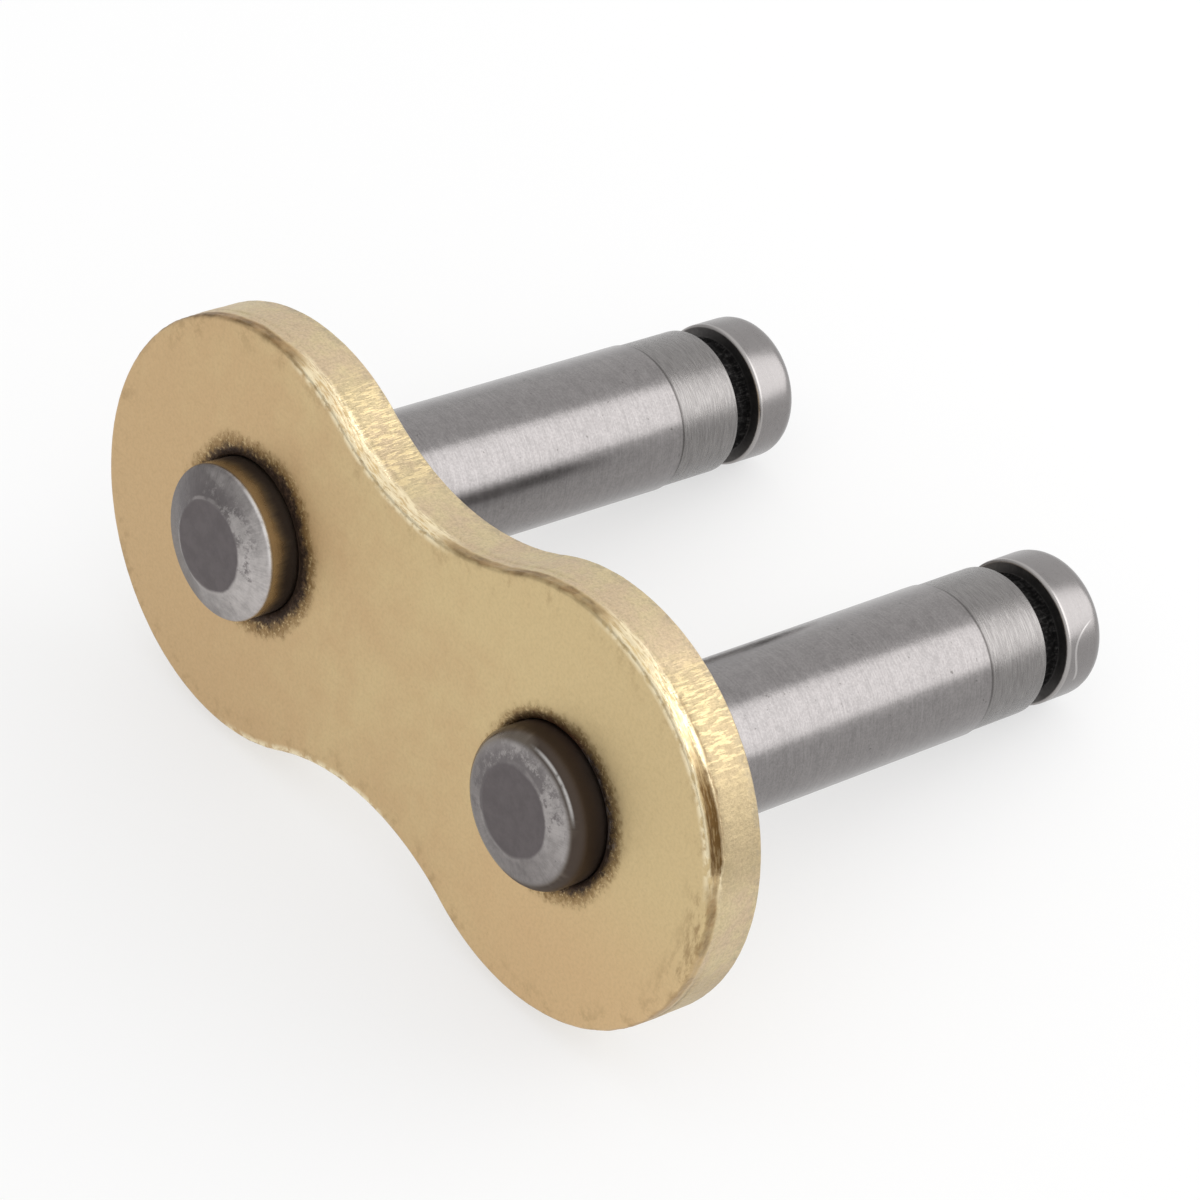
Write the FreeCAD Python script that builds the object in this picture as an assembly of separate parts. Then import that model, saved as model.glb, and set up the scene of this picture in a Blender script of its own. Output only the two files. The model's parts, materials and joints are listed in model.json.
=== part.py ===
import FreeCAD, Part
import math
import os

# Pin half of a connecting link for a roller chain: one blanked side plate and two turned pins that are
# pressed through it. All sizes are millimetres.
#
# Each piece is drawn in the plate's own axes: x runs from pin to pin, y runs along the pins from the
# plate's outer face, z runs across the plate. The link is then laid down as it comes to rest.

# side plate, blanked from strip
pitch = 12.7
plate_thickness = 1.8
plate_end_radius = 6.03
waist_radius = 7.4
outer_edge_roll = 0.15          # round where the strip was pulled down at the start of the cut
inner_edge_break = 0.08         # small chamfer on the other face
hole_roll_width = 0.34          # the same pulled-in round at the mouth of each pin hole
hole_roll_depth = 0.24

# pins, turned from bar; each hole takes the pin's own size, because the pins are pressed in
pin_diameter = 4.27
bearing_length = 12.2           # from the plate's inner face to the shoulder
shoulder_chamfer = 0.04         # length of the slope from the bearing down to the seat

# seat behind the shoulder, for a slip-fit cover plate
seat_diameter = 4.19
seat_length = 2.12

# clip groove and the head that keeps the clip on
groove_diameter = 3.3
groove_width = 0.87
head_diameter = 4.15
head_length = 1.55
head_edge_radius = 0.5

# staked pin ends, spread from the plate's inner face outwards, that stand out of its outer face
staked_diameter = 4.33
end_projection = 0.82           # from the face to the rim
end_rim_radius = 0.12
end_crown_height = 0.36         # coned part, from the rim to the flat
end_flat_diameter = 2.55

# how far a cutting shape runs past the face it cuts
cut_margin = 1.0

# centre of each pin along x
pin_centres = {"left_pin": -pitch / 2, "right_pin": pitch / 2}

# depths along y where the pins' section changes
shoulder_depth = plate_thickness + bearing_length
groove_start = shoulder_depth + seat_length
groove_end = groove_start + groove_width
pin_tip = groove_end + head_length
end_face = -end_projection - end_crown_height


def arc_on_face(centre_x, centre_z, radius, angles):
    """Circular arc on the plate's outer face, through three angles."""
    points = []
    for angle in angles:
        x = centre_x + radius * math.cos(angle)
        z = centre_z + radius * math.sin(angle)
        points.append(FreeCAD.Vector(x, 0, z))
    return Part.Arc(*points).toShape()


def plate_outline():
    """Figure-of-eight outline: an arc round each pin and two hollow waist arcs that meet them smoothly."""
    half_pitch = pitch / 2
    waist_height = math.sqrt((plate_end_radius + waist_radius) ** 2 - half_pitch ** 2)
    lean = math.atan2(waist_height, half_pitch)
    left_end = arc_on_face(-half_pitch, 0, plate_end_radius, (lean, math.pi, -lean))
    lower_waist = arc_on_face(0, -waist_height, waist_radius, (math.pi - lean, math.pi / 2, lean))
    right_end = arc_on_face(half_pitch, 0, plate_end_radius, (lean - math.pi, 0, math.pi - lean))
    upper_waist = arc_on_face(0, waist_height, waist_radius, (-lean, -math.pi / 2, lean - math.pi))
    return Part.Wire([left_end, lower_waist, right_end, upper_waist])


def edges_at_depth(solid, depth):
    """The edges of a solid that lie flat at one depth."""
    found = []
    for edge in solid.Edges:
        box = edge.BoundBox
        if abs(box.YMin - depth) < 1e-6 and abs(box.YMax - depth) < 1e-6:
            found.append(edge)
    return found


def staked_radius(depth):
    """Radius of a pin between the plate's inner face and its staked rim."""
    spread = (plate_thickness - depth) / (plate_thickness + end_projection)
    return (pin_diameter + (staked_diameter - pin_diameter) * spread) / 2


def pin_hole(centre_x):
    """Cutting shape of one pin hole, with the pulled-in round at its outer mouth."""
    inner_wall = centre_x + pin_diameter / 2
    wall = centre_x + staked_radius(hole_roll_depth)
    mouth = wall + hole_roll_width
    far = plate_thickness + cut_margin
    on_curve = 1 - math.sqrt(0.5)
    roll = Part.Arc(
        FreeCAD.Vector(mouth, 0),
        FreeCAD.Vector(wall + hole_roll_width * on_curve, hole_roll_depth * on_curve),
        FreeCAD.Vector(wall, hole_roll_depth),
    )
    inner_side = Part.makePolygon([
        FreeCAD.Vector(wall, hole_roll_depth),
        FreeCAD.Vector(inner_wall, plate_thickness),
        FreeCAD.Vector(inner_wall, far),
        FreeCAD.Vector(centre_x, far),
        FreeCAD.Vector(centre_x, -cut_margin),
        FreeCAD.Vector(mouth, -cut_margin),
        FreeCAD.Vector(mouth, 0),
    ])
    profile = Part.Wire([roll.toShape()] + inner_side.Edges)
    return Part.Face(profile).revolve(FreeCAD.Vector(centre_x, 0), FreeCAD.Vector(0, 1, 0), 360)


def side_plate():
    """Blanked plate: extruded outline, rolled outer edge, chamfered inner edge and two pin holes."""
    plate = Part.Face(plate_outline()).extrude(FreeCAD.Vector(0, plate_thickness, 0))
    plate = plate.makeFillet(outer_edge_roll, edges_at_depth(plate, 0))
    plate = plate.makeChamfer(inner_edge_break, edges_at_depth(plate, plate_thickness))
    for centre_x in pin_centres.values():
        plate = plate.cut(pin_hole(centre_x))
    return plate


def pin_corners():
    """Half section of a pin: each corner's radius and depth, and the round that it gets."""
    body = pin_diameter / 2
    seat = seat_diameter / 2
    groove = groove_diameter / 2
    head = head_diameter / 2
    return [
        (0, end_face, 0),
        (end_flat_diameter / 2, end_face, 0),
        (staked_diameter / 2, -end_projection, end_rim_radius),
        (body, plate_thickness, 0),
        (body, shoulder_depth - shoulder_chamfer, 0),
        (seat, shoulder_depth, 0),
        (seat, groove_start, 0),
        (groove, groove_start, 0),
        (groove, groove_end, 0),
        (head, groove_end, 0),
        (head, pin_tip, head_edge_radius),
        (0, pin_tip, 0),
    ]


def rounded_profile(corners):
    """Closed wire through the corners, with a tangent arc at each one that has a round."""
    points = [FreeCAD.Vector(radius, depth) for radius, depth, _ in corners]
    edges = []
    here = points[0]
    for i in range(1, len(points)):
        corner = points[i]
        fillet = corners[i][2]
        next_start = corner
        arc_end = corner
        if fillet > 0:
            backward = (points[i - 1] - corner).normalize()
            forward = (points[i + 1] - corner).normalize()
            half_angle = backward.getAngle(forward) / 2
            reach = fillet / math.tan(half_angle)
            depth_of_arc = fillet / math.sin(half_angle) - fillet
            next_start = corner + backward * reach
            arc_end = corner + forward * reach
            arc_middle = corner + (backward + forward).normalize() * depth_of_arc
        edges.append(Part.LineSegment(here, next_start).toShape())
        if fillet > 0:
            edges.append(Part.Arc(next_start, arc_middle, arc_end).toShape())
        here = arc_end
    edges.append(Part.LineSegment(here, points[0]).toShape())
    return Part.Wire(edges)


def turned_pin(centre_x):
    """Pin turned about its own axis, then moved to its hole."""
    profile = Part.Face(rounded_profile(pin_corners()))
    pin = profile.revolve(FreeCAD.Vector(0, 0), FreeCAD.Vector(0, 1, 0), 360)
    pin.translate(FreeCAD.Vector(centre_x, 0, 0))
    return pin


def resting_slope():
    """Slope of the pins when the plate's inner edge and both rounded heads touch a level surface."""
    rise = plate_end_radius - (head_diameter / 2 - head_edge_radius)
    run = (pin_tip - head_edge_radius) - (plate_thickness - inner_edge_break)
    return math.atan2(rise, run) - math.asin(head_edge_radius / math.hypot(rise, run))


def lay_down(pieces):
    """Tilts the link to its rest and puts the middle of its footprint at the origin."""
    link = Part.makeCompound(list(pieces.values()))
    slope = math.degrees(resting_slope())
    link.rotate(FreeCAD.Vector(0, 0), FreeCAD.Vector(1, 0, 0), -slope)
    box = link.optimalBoundingBox(False, False)
    for piece in pieces.values():
        piece.rotate(FreeCAD.Vector(0, 0), FreeCAD.Vector(1, 0, 0), -slope)
        piece.translate(FreeCAD.Vector(-box.Center.x, -box.Center.y, -box.ZMin))
    print("slope", round(slope, 5), "outer face centre", round(-box.Center.y, 5), round(-box.ZMin, 5))


def build():
    pieces = {"side_plate": side_plate()}
    for name, centre_x in pin_centres.items():
        pieces[name] = turned_pin(centre_x)
    lay_down(pieces)
    os.makedirs("parts", exist_ok=True)
    for name, piece in pieces.items():
        piece.exportStep("parts/" + name + ".step")


build()
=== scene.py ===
import json
import math
import bmesh
import bpy
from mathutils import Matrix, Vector


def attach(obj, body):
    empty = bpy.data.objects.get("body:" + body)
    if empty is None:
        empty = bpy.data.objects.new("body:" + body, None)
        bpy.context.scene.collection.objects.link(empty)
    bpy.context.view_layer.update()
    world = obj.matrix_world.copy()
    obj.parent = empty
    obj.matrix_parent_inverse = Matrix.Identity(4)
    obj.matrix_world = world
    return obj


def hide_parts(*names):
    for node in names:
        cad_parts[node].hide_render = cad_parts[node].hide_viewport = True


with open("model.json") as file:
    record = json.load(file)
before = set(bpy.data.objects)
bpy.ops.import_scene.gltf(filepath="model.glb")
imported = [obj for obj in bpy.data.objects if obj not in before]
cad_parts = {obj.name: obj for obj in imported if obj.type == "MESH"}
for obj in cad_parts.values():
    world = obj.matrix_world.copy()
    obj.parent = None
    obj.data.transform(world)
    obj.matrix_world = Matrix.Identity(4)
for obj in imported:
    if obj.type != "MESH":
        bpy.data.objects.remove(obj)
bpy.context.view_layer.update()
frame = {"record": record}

# Side plate.
# Blanked from steel strip in a die and gold plated. The cut pulled the strip's edge down and left a crease
# in the rolled corner, painted dark with grime and painted shade. Each pin hole has the same pulled-in mouth.

mm = 0.001
bearing = next(mount for mount in frame["record"]["mounts"] if mount["name"] == "left_bearing")
pin_direction = Vector(bearing["axis"])
slope = math.asin(-pin_direction.z)
half_pitch = -bearing["pos_m"][0]

plate_thickness = 1.8 * mm
bearing_length = 12.2 * mm
face_centre = Vector(bearing["pos_m"]) - pin_direction * (plate_thickness + bearing_length / 2)
face_centre.x = 0

end_radius = 6.03 * mm
waist_radius = 7.4 * mm
waist_height = math.sqrt((end_radius + waist_radius) ** 2 - half_pitch ** 2)
lean = math.atan2(waist_height, half_pitch)
edge_roll = 0.15 * mm
creased_depth = 0.6 * mm
crease_middle = 0.2 * mm
wedge_offset = 0.07 * mm
crease_press = 0.055 * mm
lump_press = 0.05 * mm
lump_size = 0.3 * mm
corner_reach = 0.3 * mm
edge_chamfer = 0.08 * mm
flat_border = 0.35 * mm
hole_border = 0.2 * mm
pin_radius = 2.135 * mm
staked_radius = 2.165 * mm
hole_roll_width = 0.34 * mm
hole_roll_depth = 0.24 * mm
hole_roll_steps = 8
hole_points = 144
end_steps = 200
waist_steps = 115
same_place = 0.001 * mm


def one_point(name, place):
    """A new mesh of a single point in edit mode, from which a section is drawn."""
    bpy.ops.object.select_all(action="DESELECT")
    bpy.ops.mesh.primitive_circle_add(vertices=3, radius=mm)
    piece = bpy.context.object
    piece.name = name
    bpy.ops.object.mode_set(mode="EDIT")
    bpy.ops.mesh.merge(type="CENTER")
    bpy.ops.transform.translate(value=place)
    return piece


def draw_line(step, parts=1):
    """Draws the section on from its last point, straight."""
    short_step = [length / parts for length in step]
    for _ in range(parts):
        bpy.ops.mesh.extrude_region_move(TRANSFORM_OT_translate={"value": short_step})


def rim_at_depth(piece, depth):
    """Selects the open rims of a shell that lie at one depth from the plate's outer face."""
    bpy.ops.mesh.select_mode(type="EDGE")
    bpy.ops.mesh.select_all(action="DESELECT")
    mesh = bmesh.from_edit_mesh(piece.data)
    for edge in mesh.edges:
        edge.select_set(edge.is_boundary and all(abs(vert.co.y - depth) < same_place for vert in edge.verts))
    mesh.select_flush_mode()
    bmesh.update_edit_mesh(piece.data)


def press_in(piece, name, share, depth, grain=0):
    """Presses a surface in along its normals, by a share of depth at each point, evenly or in lumps."""
    group = piece.vertex_groups.new(name=name)
    for vert in piece.data.vertices:
        group.add([vert.index], share(vert.co), "REPLACE")
    bpy.ops.object.modifier_add(type="DISPLACE")
    modifier = piece.modifiers[-1]
    modifier.vertex_group = name
    modifier.strength = -depth
    modifier.mid_level = 0
    if grain:
        modifier.texture = bpy.data.textures.new(name, "CLOUDS")
        modifier.texture.noise_scale = grain
        modifier.texture.noise_basis = "IMPROVED_PERLIN"
        modifier.texture.noise_depth = 2
    bpy.ops.object.modifier_apply(modifier=modifier.name)


def lay_down(piece):
    """Tilts a piece from the plate's own axes to its rest and keeps the place in its mesh."""
    piece.rotation_euler = (-slope, 0, 0)
    piece.location = face_centre
    bpy.ops.object.transform_apply(location=True, rotation=True, scale=True)


# The section of the edge is drawn at the left tip and spun once round the outline.
left_edge = -half_pitch - end_radius
plate = one_point("side_plate_shell", (left_edge + edge_roll + flat_border, 0, 0))
draw_line((-flat_border, 0, 0), 3)
bpy.ops.mesh.spin(steps=6, angle=math.pi / 2, center=(left_edge + edge_roll, edge_roll, 0), axis=(0, 0, 1))
draw_line((0, creased_depth - edge_roll, 0), 12)
draw_line((0, plate_thickness - creased_depth - edge_chamfer, 0), 10)
draw_line((edge_chamfer, edge_chamfer, 0))
draw_line((flat_border, 0, 0))
bpy.ops.mesh.select_all(action="SELECT")
for steps, angle, centre in (
    (end_steps, math.pi - lean, (-half_pitch, 0, 0)),
    (waist_steps, 2 * lean - math.pi, (0, 0, -waist_height)),
    (2 * end_steps, 2 * math.pi - 2 * lean, (half_pitch, 0, 0)),
    (waist_steps, 2 * lean - math.pi, (0, 0, waist_height)),
    (end_steps, math.pi - lean, (-half_pitch, 0, 0)),
):
    bpy.ops.mesh.spin(steps=steps, angle=angle, center=centre, axis=(0, 1, 0))
bpy.ops.mesh.select_all(action="SELECT")
bpy.ops.mesh.remove_doubles(threshold=same_place)

# Each hole is drawn as rings, from its rolled mouth to the inner face. Both faces are then filled up to it.
hole_rings = [(staked_radius + hole_roll_width, 0)]
for i in range(1, hole_roll_steps + 1):
    turn = math.pi / 2 * i / hole_roll_steps
    hole_rings.append((
        staked_radius + hole_roll_width * (1 - math.sin(turn)),
        hole_roll_depth * (1 - math.cos(turn)),
    ))
hole_rings += [(pin_radius, plate_thickness), (pin_radius + hole_border, plate_thickness)]
for centre_x in (-half_pitch, half_pitch):
    radius, depth = hole_rings[0][0] + hole_border, 0
    bpy.ops.mesh.select_all(action="DESELECT")
    bpy.ops.mesh.primitive_circle_add(
        vertices=hole_points, radius=radius, location=(centre_x, 0, 0), rotation=(math.pi / 2, 0, 0))
    for ring_radius, ring_depth in hole_rings:
        bpy.ops.mesh.extrude_region_move(TRANSFORM_OT_translate={"value": (0, ring_depth - depth, 0)})
        scale = ring_radius / radius
        bpy.ops.transform.resize(value=(scale, 1, scale), center_override=(centre_x, ring_depth, 0))
        radius, depth = ring_radius, ring_depth

for depth in (0, plate_thickness):
    rim_at_depth(plate, depth)
    bpy.ops.mesh.fill(use_beauty=True)
bpy.ops.mesh.select_mode(type="VERT")
bpy.ops.mesh.select_all(action="SELECT")
bpy.ops.mesh.remove_doubles(threshold=same_place)
bpy.ops.mesh.normals_make_consistent(inside=False)
bpy.ops.object.mode_set(mode="OBJECT")

# Millimetres above the pins' level between which the crease's wedge grows, and between which it fades.
wedge_low = (1.1, 2.2)
wedge_high = (3.4, 5.3)


def beside_outline(point):
    """1 where a point lies at the plate's outline, and 0 elsewhere on its faces and in its holes."""
    pin_distance = math.hypot(abs(point.x) - half_pitch, point.z)
    waist_distance = math.hypot(point.x, waist_height - abs(point.z))
    in_waist = abs(point.x) * waist_height < (waist_height - abs(point.z)) * half_pitch
    inset = waist_distance - waist_radius if in_waist else end_radius - pin_distance
    return max(0, 1 - inset / corner_reach)


def crease_share(point):
    """How deep the crease is: a faint line all round, and a wide wedge at the right end's upper corner."""
    wedge = 0
    if point.x > half_pitch:
        height = point.z / mm
        from_below = (height - wedge_low[0]) / (wedge_low[1] - wedge_low[0])
        from_above = (wedge_high[1] - height) / (wedge_high[1] - wedge_high[0])
        wedge = max(0, min(1, from_below, from_above))
    width = (0.06 + 0.09 * wedge) * mm
    line = math.exp(-((point.y - crease_middle - wedge_offset * wedge) / width) ** 2)
    return line * (0.1 + 0.9 * wedge) * beside_outline(point)


def lump_share(point):
    """Where the edge is lumpy: most in the rolled corner, less down the side wall."""
    below_face = min(1, point.y / (0.06 * mm))
    return beside_outline(point) ** 2 * below_face * (1 if point.y < creased_depth else 0.45)


press_in(plate, "crease", crease_share, crease_press)
press_in(plate, "lumps", lump_share, lump_press, grain=lump_size)
lay_down(plate)
bpy.ops.object.shade_smooth_by_angle(angle=math.radians(40))


class Signal:
    """One output of a node, on which Python's operators add Math nodes."""

    def __init__(self, tree, socket=None):
        self.tree = tree
        self.socket = socket

    def node(self, kind, settings, inputs, output=0):
        """Adds a node of one type, sets it up, gives its sockets values or links, and returns an output."""
        made = self.tree.nodes.new("ShaderNode" + kind)
        for name, value in settings.items():
            setattr(made, name, value)
        for name, value in inputs.items():
            if isinstance(value, Signal):
                self.tree.links.new(value.socket, made.inputs[name])
            else:
                made.inputs[name].default_value = value
        return Signal(self.tree, made.outputs[output])

    def maths(self, operation, *values):
        """One Math node on signals and numbers."""
        return self.node("Math", {"operation": operation}, dict(enumerate(values)))

    def __add__(self, other):
        return self.maths("ADD", self, other)

    def __sub__(self, other):
        return self.maths("SUBTRACT", self, other)

    def __rsub__(self, other):
        return self.maths("SUBTRACT", other, self)

    def __mul__(self, other):
        return self.maths("MULTIPLY", self, other)

    def __truediv__(self, other):
        return self.maths("DIVIDE", self, other)

    def __pow__(self, other):
        return self.maths("POWER", self, other)

    def __abs__(self):
        return self.maths("ABSOLUTE", self)

    def __lt__(self, other):
        return self.maths("LESS_THAN", self, other)

    __radd__ = __add__
    __rmul__ = __mul__

    def rise(self, low, high):
        """0 below low, 1 above high and a soft step between."""
        settings = {"interpolation_type": "SMOOTHSTEP"}
        return self.node("MapRange", settings, {"Value": self, "From Min": low, "From Max": high})

    def blend(self, low, high):
        """Colour low where this is 0 and high where it is 1."""
        return self.node("Mix", {"data_type": "RGBA"}, {0: self, 6: low, 7: high}, 2)

    def part(self, index):
        """The x, y or z part of a place."""
        return self.node("SeparateXYZ", {}, {0: self}, index)

    def stretched(self, x, y, z):
        """A place with its parts multiplied, so that noise on it runs in streaks."""
        return self.node("VectorMath", {"operation": "MULTIPLY"}, {0: self, 1: (x, y, z)})

    def noise(self, scale, detail=3, roughness=0.5):
        """Cloudy noise round 0.5. The scale is in clouds to the millimetre."""
        inputs = {"Vector": self, "Scale": scale, "Detail": detail, "Roughness": roughness}
        return self.node("TexNoise", {}, inputs)


def new_surface(name):
    """A new material, its main shader node and the plate's own coordinates in millimetres."""
    material = bpy.data.materials.new(name)
    material.use_nodes = True
    tree = material.node_tree
    shader = tree.nodes["Principled BSDF"]
    start = Signal(tree)
    place = start.node("TexCoord", {}, {}, "Object")
    own_axes = {"Vector": place, "Location": face_centre, "Rotation": (-slope, 0, 0), "Scale": (mm, mm, mm)}
    return material, shader, start.node("Mapping", {"vector_type": "TEXTURE"}, own_axes)


def wire(shader, **sockets):
    """Gives the shader's sockets their values or signals. An underscore in a name stands for a space."""
    for name, value in sockets.items():
        socket = shader.inputs[name.replace("_", " ")]
        if isinstance(value, Signal):
            value.tree.links.new(value.socket, socket)
        else:
            socket.default_value = value


def grey(value):
    """A neutral colour."""
    return (value, value, value, 1)


black = grey(0)
face_gold = (0.625, 0.44, 0.238, 1)
yellow_gold = (0.685, 0.532, 0.289, 1)
painted_light_gold = (0.69, 0.48, 0.262, 1)
wall_gold = (0.648, 0.51, 0.345, 1)
wall_cream = (0.674, 0.56, 0.347, 1)
shaded_shoulder_gold = (0.5, 0.395, 0.23, 1)
shaded_wall_gold = (0.46, 0.365, 0.22, 1)
highlight_cut_gold = (0.86, 0.7, 0.4, 1)
highlight_gold = (0.86, 0.74, 0.5, 1)
crumb_gold = (0.66, 0.5, 0.27, 1)
scuff_brown = (0.33, 0.215, 0.1, 1)
wall_dot_brown = (0.36, 0.3, 0.2, 1)
worn_brown = (0.27, 0.24, 0.19, 1)
burr_brown = (0.28, 0.2, 0.11, 1)
crease_brown = (0.15, 0.094, 0.04, 1)
pale_crease_brown = (0.33, 0.205, 0.095, 1)
wedge_brown = (0.125, 0.07, 0.024, 1)
fringe_brown = (0.22, 0.13, 0.045, 1)
soot_black = (0.058, 0.038, 0.029, 1)
soot_brown = (0.13, 0.084, 0.058, 1)
lit_mouth_brown = (0.2, 0.14, 0.105, 1)
lump_grey = (0.21, 0.195, 0.195, 1)
rust_red = (0.17, 0.072, 0.042, 1)
root_brown = (0.05, 0.035, 0.02, 1)

gold, gold_shader, place = new_surface("gold_plating")
x, y, z = place.part(0), place.part(1), place.part(2)
side_x, side_z = abs(x), abs(z)
side = 1 - 2 * (x < 0)
on_right = 1 - (x < 0)
own_x = x - side * (half_pitch / mm)
from_pin = (own_x * own_x + z * z) ** 0.5
waist_off = waist_height / mm - side_z
from_waist = (x * x + waist_off * waist_off) ** 0.5
in_waist = side_x < waist_off * (half_pitch / waist_height)
inset = (end_radius / mm - from_pin) * (1 - in_waist) + (from_waist - waist_radius / mm) * in_waist
corner = 1 - inset.rise(0.12, 0.3)
wavy_y = y + 0.16 * (place.noise(1.6, 3) - 0.5)
wall = wavy_y.rise(0.26, 0.42) * (1 - inset.rise(0.04, 0.12))

# The face's random tone is painted yellower high on the right and warmer low on the right, as painted light,
# with fine speckle and scuffs.
tone_and_painted_light = 0.5 + 0.05 * x + 0.05 * z + 1.2 * (place.noise(0.16, 2) - 0.5) + 1.1 * (place.noise(0.9, 5, 0.6) - 0.5)
colour = tone_and_painted_light.rise(0, 1).blend(face_gold, yellow_gold)
# Painted light: the lower right of the face is painted warmer.
warm_painted_light = x.rise(1, 7) * (1 - z.rise(-4, 1)) * 0.8
colour = warm_painted_light.blend(colour, painted_light_gold)
speckle = place.noise(10, 4, 0.65).rise(0.3, 0.62)
colour = (0.92 + 0.08 * speckle).blend(black, colour)
low_right = x.rise(9, 11) * (1 - abs(z + 0.2).rise(1, 3))
along_edge = place.stretched(2.6, 1, 0.9).noise(1, 5, 0.7)
scuff_noise = place.noise(1.4, 5, 0.7) * (1 - low_right) + (along_edge + 0.05) * low_right
scuff = (1 - inset.rise(0.1, 1.1)) * scuff_noise.rise(0.5, 0.66) * (0.4 + 0.4 * low_right)
dots = place.noise(6, 2, 0.7).rise(0.7, 0.78) * 0.35
colour = (scuff + dots * (1 - scuff)).blend(colour, scuff_brown)

# The side wall is creamier, with short marks of the cut on its shoulders: the slope from the left end down to
# the waist, and the right end. Where the lamp falls there, the wall is painted darker as painted shade that
# tones down the highlight, and the marks are painted bright as painted highlights.
wall_tint = (place.noise(0.7, 3, 0.6) * 0.6 + place.noise(2.6, 5, 0.7) * 0.4).rise(0.4, 0.6)
wall_colour = wall_tint.blend(wall_gold, wall_cream)
lit_shoulders = x.rise(-5.4, -4) * (1 - x.rise(-2, -0.6)) + x.rise(8, 9.4)
lit_shoulders = lit_shoulders * side_z.rise(0.8, 2.4)
wall_colour = (lit_shoulders * (0.35 + 0.3 * on_right)).blend(wall_colour, shaded_shoulder_gold)
# Painted shade: the right end's wall is painted darker where the lamp's highlight falls.
painted_shade_right_wall = x.rise(9, 11) * (1 - abs(z - 3.2).rise(1.2, 2.6)) * 0.7
wall_colour = painted_shade_right_wall.blend(wall_colour, shaded_wall_gold)
wall_grain = place.noise(13, 4, 0.7).rise(0.3, 0.66)
wall_colour = (0.8 + 0.2 * wall_grain).blend(black, wall_colour)
wall_dots = place.noise(5, 3, 0.7).rise(0.62, 0.72) * 0.3
wall_colour = wall_dots.blend(wall_colour, wall_dot_brown)
marks = place.stretched(12, 2.3, 12).noise(1, 3, 0.6)
marked = lit_shoulders * (1 - x.rise(7, 9) * (1 - side_z.rise(3.4, 4.6)))
# Painted highlights: the cut marks are painted bright, most on the lit shoulders.
mark_highlights = marks.rise(0.48, 0.58) * (0.1 + 0.75 * marked) * 0.75
wall_colour = mark_highlights.blend(wall_colour, highlight_cut_gold)
wall_wear = y.rise(1.3, 1.75) * place.noise(3.5, 4, 0.7).rise(0.45, 0.62) * 0.4
wall_colour = wall_wear.blend(wall_colour, worn_brown)
burr_line = (1 - abs(wavy_y + 0.14 * (place.noise(3, 2) - 0.5) - 0.5).rise(0.02, 0.07)) * x.rise(8, 10)
wall_colour = (burr_line * side_z.rise(1, 3) * 0.75).blend(wall_colour, burr_brown)
colour = wall.blend(colour, wall_colour)

# The crease is painted dark brown, partly grime and partly painted shade and dark reflection, darker higher
# up and darkest in its wedge. Along the shoulders, where the lamp falls, it carries painted highlight flakes
# instead.
painted_highlight_zone = x.rise(-6.2, -5.2) * (1 - x.rise(0.2, 1.6)) + x.rise(6, 7.4) * z.rise(0.6, 2.2)
ragged_z = z + 1.2 * (place.noise(2.6, 5, 0.7) - 0.5)
wedge = ragged_z.rise(*wedge_low) * (1 - ragged_z.rise(*wedge_high)) * x.rise(8, 9)
in_crease = wavy_y.rise(0.0, 0.07) * (1 - wavy_y.rise(0.26, 0.38)) * corner
from_line = abs(y - crease_middle / mm - wedge_offset / mm * wedge)
in_line = (1 - from_line.rise(0.03 + 0.11 * wedge, 0.09 + 0.16 * wedge)) * corner
patchy = 0.65 + 0.35 * place.noise(1.3, 4, 0.6).rise(0.35, 0.6)
# Painted shade and dark reflection, with some grime: the crease is darkened away from the lit shoulders, more
# higher up.
grime_and_shade = in_crease * (1 - painted_highlight_zone) * patchy * (0.45 + 0.4 * z.rise(-1, 2))
streaks = place.stretched(3, 16, 3).noise(1, 3, 0.6)
line_grime_and_shade = 0.12 * patchy + (0.68 + 0.27 * streaks.rise(0.35, 0.6)) * wedge
grime_and_shade = grime_and_shade + (1 - grime_and_shade) * in_line * line_grime_and_shade
grime_and_shade_colour = place.noise(2.4, 4, 0.6).rise(0.35, 0.65).blend(crease_brown, pale_crease_brown)
grime_and_shade_colour = wedge.blend(grime_and_shade_colour, wedge_brown)
# Painted highlights: bright gold flakes in the corner where the lamp falls on the shoulders.
highlight_flakes = streaks.rise(0.36, 0.56) * corner * painted_highlight_zone * (1 - grime_and_shade) * (1 - wavy_y.rise(0.4, 0.55))
colour = highlight_flakes.blend(colour, highlight_gold)
colour = grime_and_shade.blend(colour, grime_and_shade_colour)

# Black press grime round each pin, ragged and hairy outside, brown where it thins out.
turn_x, turn_z = own_x / from_pin, z / from_pin
around = place.node("CombineXYZ", {}, {0: turn_x, 1: turn_z, 2: from_pin * 0.12 + side * 5})
spread = 0.44 - 0.17 * on_right + 0.18 * turn_x + (0.1 - 0.06 * on_right) * turn_z + 0.1 * turn_x * turn_z
spread = spread + 0.5 * (around.noise(1.6, 2) - 0.5)
spread = spread + 0.1 * (around.noise(22, 3, 0.7) - 0.5) + 0.95 * (place.noise(5, 6, 0.75) - 0.5)
beyond = from_pin - pin_radius / mm - spread
front = 1 - y.rise(0.5, 0.9)
stain = (1 - beyond.rise(-0.24, 0.1)) * front
fringe = (1 - beyond.rise(0.0, 0.48)) * front
hairs = around.noise(30, 3, 0.7).rise(0.5, 0.62) * (1 - beyond.rise(0.0, 0.5)) * front
hairs = hairs * place.noise(1.7, 2).rise(0.35, 0.6)
brown = (fringe * 0.95 + hairs * 0.35).rise(0, 1.15)
colour = (brown * 0.85).blend(colour, fringe_brown)
red_patch = on_right * turn_z.rise(0.6, 0.85) * (1 - turn_x.rise(0.1, 0.5))
lumps = place.noise(6, 4, 0.65).rise(0.46, 0.64)
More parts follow.
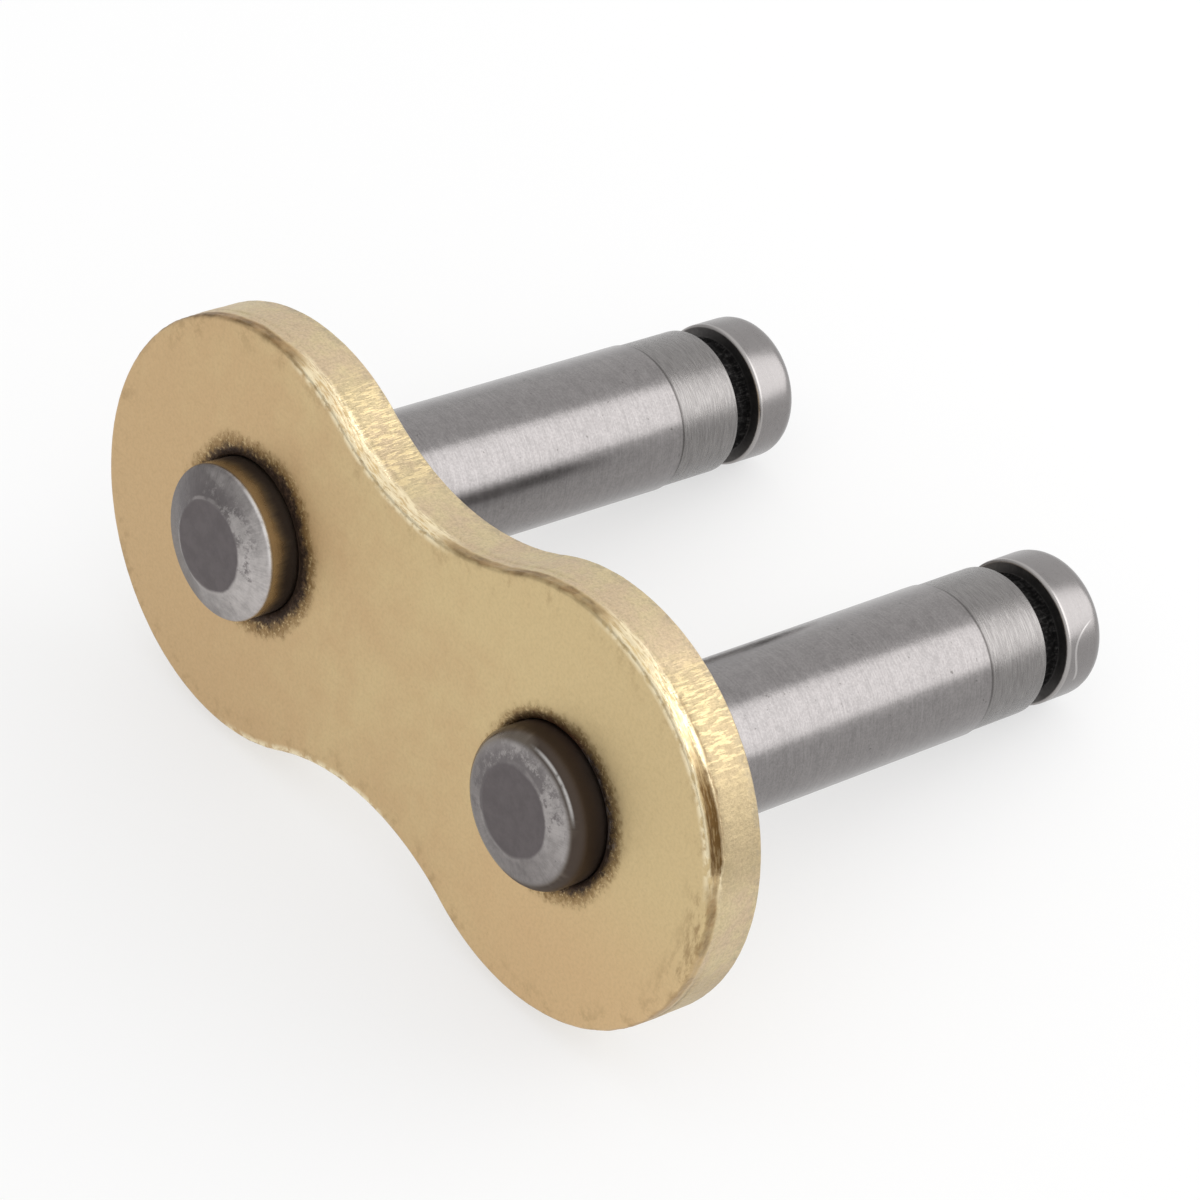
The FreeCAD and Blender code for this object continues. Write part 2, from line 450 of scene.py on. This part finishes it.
grey_lumps = on_right * turn_x.rise(0.1, 0.4) * turn_z.rise(-0.1, 0.3) * lumps
soot = lumps.blend(soot_black, soot_brown)
# Painted light: in the hole's mouth the soot is painted lighter brown, lifting the mouth's shade.
in_mouth = 1 - (from_pin - pin_radius / mm).rise(0.05, 0.34)
soot = (in_mouth * 0.7).blend(soot, lit_mouth_brown)
soot = grey_lumps.blend(soot, lump_grey)
soot = red_patch.blend(soot, rust_red)
colour = stain.blend(colour, soot)
crumbs = place.noise(7.5, 3, 0.65).rise(0.54, 0.64) * (1 - abs(beyond - 0.1).rise(0.1, 0.36)) * front
colour = (crumbs * 0.8).blend(colour, crumb_gold)
root = (1 - (from_pin - pin_radius / mm).rise(0.02, 0.14)) * y.rise(1.2, 1.6) * 0.8
colour = root.blend(colour, root_brown)

# The relief: soft dimples on the face, marks of the cut on the wall, tears in the corner, lumps in the grime.
face_height = (place.noise(2.2, 3) - 0.5) * 0.9 + (place.noise(11, 4, 0.6) - 0.5) * 0.25
wall_height = (marks - 0.5) * (0.4 + 2 * marked) + (place.noise(13, 4, 0.7) - 0.5) * 1.2
corner_height = (streaks - 0.5) * 1.8 * (1 - inset.rise(0.08, 0.16))
height = face_height * (1 - wall) + wall_height * wall + corner_height * (1 - wall)
height = height + (lumps - 0.5) * stain * 0.8
bump = place.node("Bump", {}, {"Strength": 0.9, "Distance": 0.012 * mm, "Height": height}, "Normal")
roughness = 0.42 + 0.16 * (place.noise(4, 3) - 0.5)
roughness = roughness - 0.14 * highlight_flakes + 0.15 * stain + 0.1 * grime_and_shade + 0.08 * wall
wire(
    gold_shader,
    Base_Color=colour,
    Metallic=1,
    Roughness=roughness,
    Normal=bump,
)
plate.data.materials.append(gold)
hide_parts("side_plate")
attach(plate, "root")

# Pins.
# Turned and ground from hardened steel bar, pressed through the plate and staked, so that the coned end
# stands out of its face. At the far end are the cover plate's seat, the black clip groove and the head.
# The right pin was staked flatter than the left one, with a rounder rim.

shoulder = plate_thickness + bearing_length
seat_radius = 2.095 * mm
seat_length = 2.12 * mm
groove_radius = 1.65 * mm
groove_width = 0.87 * mm
head_radius = 2.075 * mm
head_length = 1.55 * mm
head_round = 0.5 * mm
shoulder_chamfer = 0.04 * mm
shoulder_round = 0.02 * mm
seat_round = 0.04 * mm
groove_round = 0.1 * mm
head_back_round = 0.08 * mm
projection = 0.82 * mm
end_flat_radius = 1.275 * mm
end_flat_round = 0.2 * mm
end_flat_margin = 0.15 * mm
left_crown_height = 0.36 * mm
right_crown_height = 0.18 * mm
left_rim_round = 0.12 * mm
right_rim_round = 0.42 * mm
round_steps = 8
turning_steps = 192
groove_start = shoulder + seat_length
groove_end = groove_start + groove_width
tip = groove_end + head_length


def turned_pin(name, centre_x, crown_height, rim_round):
    """Draws a pin's half section, rounds its corners and turns it about the pin's axis."""
    end_face = -projection - crown_height
    corners = [
        (end_flat_radius - end_flat_margin, end_face, 0),
        (end_flat_radius, end_face, end_flat_round),
        (staked_radius, -projection, rim_round),
        (pin_radius, plate_thickness, 0),
        (pin_radius, shoulder - shoulder_chamfer, shoulder_round),
        (seat_radius, shoulder, 0),
        (seat_radius, groove_start, seat_round),
        (groove_radius, groove_start, groove_round),
        (groove_radius, groove_end, groove_round),
        (head_radius, groove_end, head_back_round),
        (head_radius, tip, head_round),
        (0, tip, 0),
    ]
    pin = one_point(name, (0, end_face, 0))
    here = (0, end_face)
    for radius, depth, _ in corners:
        draw_line((radius - here[0], depth - here[1], 0))
        here = (radius, depth)
    for i, (radius, depth, fillet) in enumerate(corners):
        if fillet == 0:
            continue
        before = Vector(corners[i - 1][:2]) if i else Vector((0, end_face))
        corner = Vector((radius, depth))
        after = Vector(corners[i + 1][:2])
        half_angle = (before - corner).angle(after - corner) / 2
        bpy.ops.mesh.select_mode(type="VERT")
        bpy.ops.mesh.select_all(action="DESELECT")
        mesh = bmesh.from_edit_mesh(pin.data)
        for vert in mesh.verts:
            vert.select_set((vert.co.xy - corner).length < same_place)
        bmesh.update_edit_mesh(pin.data)
        bpy.ops.mesh.bevel(affect="VERTICES", offset=fillet / math.tan(half_angle), segments=round_steps)
    bpy.ops.mesh.select_all(action="SELECT")
    bpy.ops.mesh.spin(steps=turning_steps, angle=2 * math.pi, center=(0, 0, 0), axis=(0, 1, 0))
    bpy.ops.mesh.select_all(action="SELECT")
    bpy.ops.mesh.remove_doubles(threshold=same_place / 2)
    bpy.ops.mesh.normals_make_consistent(inside=False)
    bpy.ops.transform.translate(value=(centre_x, 0, 0))
    bpy.ops.object.mode_set(mode="OBJECT")
    lay_down(pin)
    bpy.ops.object.shade_smooth_by_angle(angle=math.radians(32))
    return pin


dark_steel = (0.187, 0.176, 0.174, 1)
pale_steel = (0.262, 0.247, 0.244, 1)
seat_steel = (0.16, 0.151, 0.148, 1)
pale_seat_steel = (0.255, 0.243, 0.237, 1)
head_steel = (0.25, 0.237, 0.234, 1)
highlight_steel = (0.42, 0.4, 0.39, 1)
scratched_steel = (0.55, 0.53, 0.52, 1)
glint_steel = (0.85, 0.83, 0.81, 1)
pit_black = (0.05, 0.045, 0.042, 1)
step_black = (0.05, 0.045, 0.043, 1)
scale_black = (0.009, 0.0085, 0.0085, 1)
scale_grey = (0.075, 0.072, 0.07, 1)
shaded_cone = (0.18, 0.162, 0.159, 1)
lit_cone = (0.56, 0.525, 0.51, 1)
smudge_grey = (0.135, 0.12, 0.122, 1)
ring_grey = (0.42, 0.39, 0.38, 1)
dark_flat = (0.122, 0.107, 0.109, 1)
pale_flat = (0.142, 0.125, 0.127, 1)
left_collar_reflection = (0.44, 0.365, 0.26, 1)
right_collar_reflection = (0.2, 0.165, 0.13, 1)
pin_soot_and_shade = (0.07, 0.052, 0.042, 1)
root_soot_and_shade = (0.12, 0.09, 0.072, 1)

steel, steel_shader, place = new_surface("ground_steel")
x, y, z = place.part(0), place.part(1), place.part(2)
side = 1 - 2 * (x < 0)
on_right = 1 - (x < 0)
own_x = x - side * (half_pitch / mm)
from_axis = (own_x * own_x + z * z) ** 0.5
turn_x, turn_z = own_x / from_axis, z / from_axis
around = place.node("CombineXYZ", {}, {0: turn_x, 1: turn_z, 2: y * 0.1 + side * 5})

# The ground lengths carry fine rings, a soft mottle and a few pits. The seats are turned more coarsely, and
# the step up to the bearing shows as a dark line.
rings = place.stretched(0.5, 16, 0.5).noise(1, 4, 0.65)
mottle = place.noise(3.6, 5, 0.65)
fleck = place.noise(15, 3, 0.7)
tone = (rings * 0.3 + mottle * 0.28 + fleck * 0.42).rise(0.36, 0.64)
colour = tone.blend(dark_steel, pale_steel)
pits = place.noise(5, 3, 0.6).rise(0.69, 0.73) * 0.55
colour = pits.blend(colour, pit_black)
in_seat = y.rise(shoulder / mm - 0.03, shoulder / mm) * (1 - y.rise(groove_end / mm, groove_end / mm + 0.02))
seat_rings = place.stretched(2, 34, 2).noise(1, 3, 0.7).rise(0.3, 0.7)
colour = in_seat.blend(colour, seat_rings.blend(seat_steel, pale_seat_steel))
step_line = 1 - abs(y - shoulder / mm).rise(0.02, 0.09)
colour = (step_line * 0.7).blend(colour, step_black)

# The clip groove keeps its rough black hardening scale. The head's corner beside it is painted bright as a
# painted highlight, and the right head has a curled scratch.
in_groove = y.rise(groove_start / mm - 0.02, groove_start / mm + 0.02)
in_groove = in_groove * (1 - y.rise(groove_end / mm - 0.02, groove_end / mm + 0.02))
in_groove = in_groove * (1 - from_axis.rise(seat_radius / mm - 0.05, seat_radius / mm - 0.01))
scale_bits = around.noise(30, 3, 0.7) * 0.5 + place.noise(9, 3, 0.7) * 0.5
scale_colour = scale_bits.rise(0.45, 0.72).blend(scale_black, scale_grey)
colour = in_groove.blend(colour, scale_colour)
on_head = y.rise(groove_end / mm - 0.01, groove_end / mm + 0.03)
colour = (on_head * 0.6).blend(colour, head_steel)
head_corner_highlight = (1 - abs(y - groove_end / mm - 0.05).rise(0.04, 0.1)) * from_axis.rise(1.98, 2.03)
colour = (head_corner_highlight * 0.7).blend(colour, highlight_steel)
turn = place.maths("ARCTAN2", z, own_x) - 0.28
curl = abs(y - 17.3 - turn * turn * (3.2 + 5 * turn))
curl_reach = (1 - abs(turn + 0.05).rise(0.36, 0.44)) * on_right * from_axis.rise(2.0, 2.04)
scratch = (1 - curl.rise(0.02, 0.06)) * curl_reach * y.rise(groove_end / mm, groove_end / mm + 0.1)
colour = (scratch * 0.6).blend(colour, scratched_steel)

# The staked end has a dull dark flat in a thin bright ring, and a smudged cone painted lighter on its right
# as painted light.
end = 1 - (y + 0.14 * on_right).rise(-0.76, -0.68)
# Painted light: the cone's colour runs from shaded to lit with the side it faces, with tone at random.
lit_turn = turn_x * (0.9 - 0.4 * on_right) + turn_z * (0.1 + 0.7 * on_right)
cone_light_and_tone = (0.5 + 0.5 * lit_turn + 0.6 * (place.noise(1.2, 3) - 0.5)).rise(0.2, 0.95)
cone_light_and_tone = cone_light_and_tone * (1 - 0.5 * on_right) + 0.2 * on_right
cone_colour = cone_light_and_tone.blend(shaded_cone, lit_cone)
radial = around.noise(34, 3, 0.7).rise(0.35, 0.65) * from_axis.rise(1.2, 1.5)
cloud = place.noise(2, 6, 0.75) + 0.11 * turn_z - 0.05 * turn_x
smudge = cloud.rise(0.5, 0.62) * (1 - from_axis.rise(1.5, 2.15))
cone_mottle = place.noise(3.4, 6, 0.75).rise(0.34, 0.62)
cone_colour = (0.7 + 0.1 * radial + 0.2 * cone_mottle).blend(black, cone_colour)
cone_colour = (smudge * 0.75).blend(cone_colour, smudge_grey)
colour = end.blend(colour, cone_colour)
flat_x = own_x + 0.13 * on_right
flat_edge = (flat_x * flat_x + z * z) ** 0.5 + 0.14 * (place.noise(1.8, 4, 0.6) - 0.5)
end_flat = end * (1 - flat_edge.rise(1.2, 1.31))
bright_ring = end * (1 - abs(flat_edge - 1.33).rise(0.02, 0.07)) * place.noise(1.5, 3).rise(0.42, 0.6)
colour = (bright_ring * (0.45 - 0.2 * on_right)).blend(colour, ring_grey)
flat_tone = place.noise(3, 3, 0.6).rise(0.3, 0.7)
colour = end_flat.blend(colour, flat_tone.blend(dark_flat, pale_flat))

# The end's side is painted brown below the rim as a painted reflection of the gold plate, and dark towards
# the plate, partly soot and partly painted shade and dark reflection. The rim has one painted glint.
reflection_collar = (1 - y.rise(0, 0.3)) - end
colour = (reflection_collar * 0.85).blend(colour, on_right.blend(left_collar_reflection, right_collar_reflection))
# Painted shade and dark reflection, with some soot: the side darkens towards the plate, more on the right.
soot_and_shade_edge = y + 0.3 * (around.noise(12, 3, 0.7) - 0.5) + 0.9 * (around.noise(1.8, 3) - 0.5)
soot_and_shade_edge = soot_and_shade_edge + on_right * (0.2 + 0.5 * turn_x.rise(-0.5, 0.3))
soot_and_shade = (1 - end) * (1 - y.rise(0, 0.3)) * soot_and_shade_edge.rise(-0.62, -0.14) * 0.92
colour = soot_and_shade.blend(colour, y.rise(-0.4, 0.1).blend(pin_soot_and_shade, root_soot_and_shade))
# Painted highlight: a bright glint painted on the rim's upper right.
glint_angle = (turn_x * (0.71 - 0.21 * on_right) + turn_z * (0.71 + 0.16 * on_right)).rise(0.78, 0.97)
rim_glint = glint_angle * from_axis.rise(2.08 - 0.16 * on_right, 2.14 - 0.12 * on_right)
rim_glint = rim_glint * (1 - (y + 0.06 * on_right).rise(-0.76, -0.7)) * place.noise(3, 4, 0.7).rise(0.3, 0.55)
colour = (rim_glint * (0.5 + 0.4 * on_right)).blend(colour, glint_steel)

# The relief: the rings of grinding and turning, and the radial marks and smudges of the cone.
cone_height = radial * (0.3 - 0.24 * on_right) + smudge * 0.8
height = rings * 0.3 + fleck * 0.12 + cone_height * (end - end_flat) + seat_rings * in_seat * 0.5
bump = place.node("Bump", {}, {"Strength": 0.8, "Distance": 0.005 * mm, "Height": height}, "Normal")
roughness = 0.23 + 0.1 * (mottle - 0.5)
roughness = roughness + 0.4 * in_groove + 0.16 * end + 0.3 * soot_and_shade + 0.04 * in_seat + 0.05 * on_head
wire(
    steel_shader,
    Base_Color=colour,
    Metallic=1,
    Roughness=roughness,
    Normal=bump,
)
for node, centre_x, crown_height, rim_round in (
    ("left_pin", -half_pitch, left_crown_height, left_rim_round),
    ("right_pin", half_pitch, right_crown_height, right_rim_round),
):
    pin = turned_pin(node + "_turned", centre_x, crown_height, rim_round)
    pin.data.materials.append(steel)
    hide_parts(node)
    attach(pin, "root")

# Stage.
# A plain pale floor that shows whiter to the camera and in the metal, a white surround that is brighter
# behind the pins, and one broad soft lamp low behind them that draws the bright band along them.

floor_size = 3
floor_whiteness = 0.6
surround_level = 0.6
extra_behind_pins = 0.45
behind_pins = (0.55, 0.7, 0.45)

bpy.ops.object.select_all(action="DESELECT")
bpy.ops.mesh.primitive_plane_add(size=floor_size)
floor = bpy.context.object
floor.name = "floor"
paper, paper_shader, _ = new_surface("pale_paper")
wire(paper_shader, Base_Color=grey(0.92), Roughness=0.9)
start = Signal(paper.node_tree)
seen = 0
for ray in ("Is Camera Ray", "Is Glossy Ray", "Is Transmission Ray"):
    seen = start.node("LightPath", {}, {}, ray) + seen
white = start.node("Emission", {}, {"Strength": 1})
lit = Signal(paper.node_tree, paper_shader.outputs["BSDF"])
blended = start.node("MixShader", {}, {0: seen * floor_whiteness, 1: lit, 2: white})
paper.node_tree.links.new(blended.socket, paper.node_tree.nodes["Material Output"].inputs["Surface"])
floor.data.materials.append(paper)

world = bpy.data.worlds.new("white_surround")
world.use_nodes = True
direction = Signal(world.node_tree)
direction = direction.node("TexCoord", {}, {}, "Generated")
lit_side = direction.node("VectorMath", {"operation": "DOT_PRODUCT"}, {0: direction, 1: behind_pins}, "Value")
strength = surround_level + extra_behind_pins * lit_side.rise(-0.4, 0.3)
world.node_tree.links.new(strength.socket, world.node_tree.nodes["Background"].inputs["Strength"])
world.node_tree.nodes["Background"].inputs["Color"].default_value = grey(1)
bpy.context.scene.world = world

# The lamp's azimuth is 0 behind the pins and grows to their right.
lamp_azimuth = math.radians(35)
lamp_elevation = math.radians(24)
lamp_distance = 0.3
lamp_size = 0.26
lamp_watts = 0.42
bpy.ops.object.select_all(action="DESELECT")
bpy.ops.object.light_add(type="AREA")
lamp = bpy.context.object
lamp.name = "band_light"
lamp.data.size = lamp_size
lamp.data.energy = lamp_watts
lamp.visible_camera = False
away = Vector((
    math.sin(lamp_azimuth) * math.cos(lamp_elevation),
    math.cos(lamp_azimuth) * math.cos(lamp_elevation),
    math.sin(lamp_elevation),
))
lamp.location = away * lamp_distance
lamp.rotation_euler = away.to_track_quat("Z", "Y").to_euler()

# Camera.
# A long lens at the photograph's distance and angle, found from the outlines of the plate and the pins.

camera_target = Vector((1.600, -2.767, 6.405)) * mm
camera_azimuth = math.radians(49.481)
camera_elevation = math.radians(43.423)
camera_roll = math.radians(1.249)
camera_distance = 123.26 * mm
sensor_width = 36
focal_length = 141.02
back = Vector((
    math.sin(camera_azimuth) * math.cos(camera_elevation),
    -math.cos(camera_azimuth) * math.cos(camera_elevation),
    math.sin(camera_elevation),
))
bpy.ops.object.camera_add(location=camera_target + back * camera_distance)
camera = bpy.context.object
camera.name = "camera"
camera.data.sensor_width = sensor_width
camera.data.lens = focal_length
camera.data.clip_start = 0.01
camera.rotation_euler = back.to_track_quat("Z", "Y").to_euler()
camera.rotation_euler.rotate_axis("Z", camera_roll)
bpy.context.scene.camera = camera
bpy.context.scene.view_settings.view_transform = "Standard"
